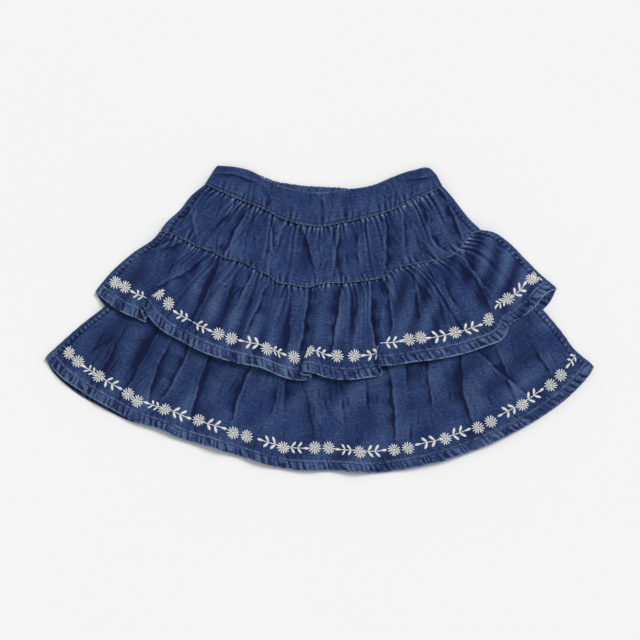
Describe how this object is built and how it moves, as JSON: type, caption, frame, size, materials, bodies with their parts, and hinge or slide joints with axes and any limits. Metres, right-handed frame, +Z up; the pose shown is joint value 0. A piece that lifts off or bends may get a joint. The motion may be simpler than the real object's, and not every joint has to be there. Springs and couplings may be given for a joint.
{
  "type": "tiered skirt",
  "caption": "Child's tiered skirt laid flat: waistband, yoke, upper ruffle and lower tier, each with a front and a back panel.",
  "frame": {"origin": "middle of the skirt's plan box, on the surface that it lies on", "axes": "+X across the skirt, to the right as seen from above; +Y from hem to waist; +Z up off the surface, out of the front"},
  "size_m": [0.5762, 0.3221, 0.0164],
  "materials": {
    "chambray": "matt washed indigo chambray",
    "embroidery_thread": "satin off-white embroidery thread",
    "sewing_thread": "matt blue sewing thread"
  },
  "bodies": {
    "root": {"waistband_front": "chambray", "waistband_back": "chambray", "yoke_front": "chambray", "yoke_back": "chambray", "upper_ruffle_front": "chambray", "upper_ruffle_back": "chambray", "lower_tier_front": "chambray", "lower_tier_back": "chambray"}
  },
  "joints": []
}
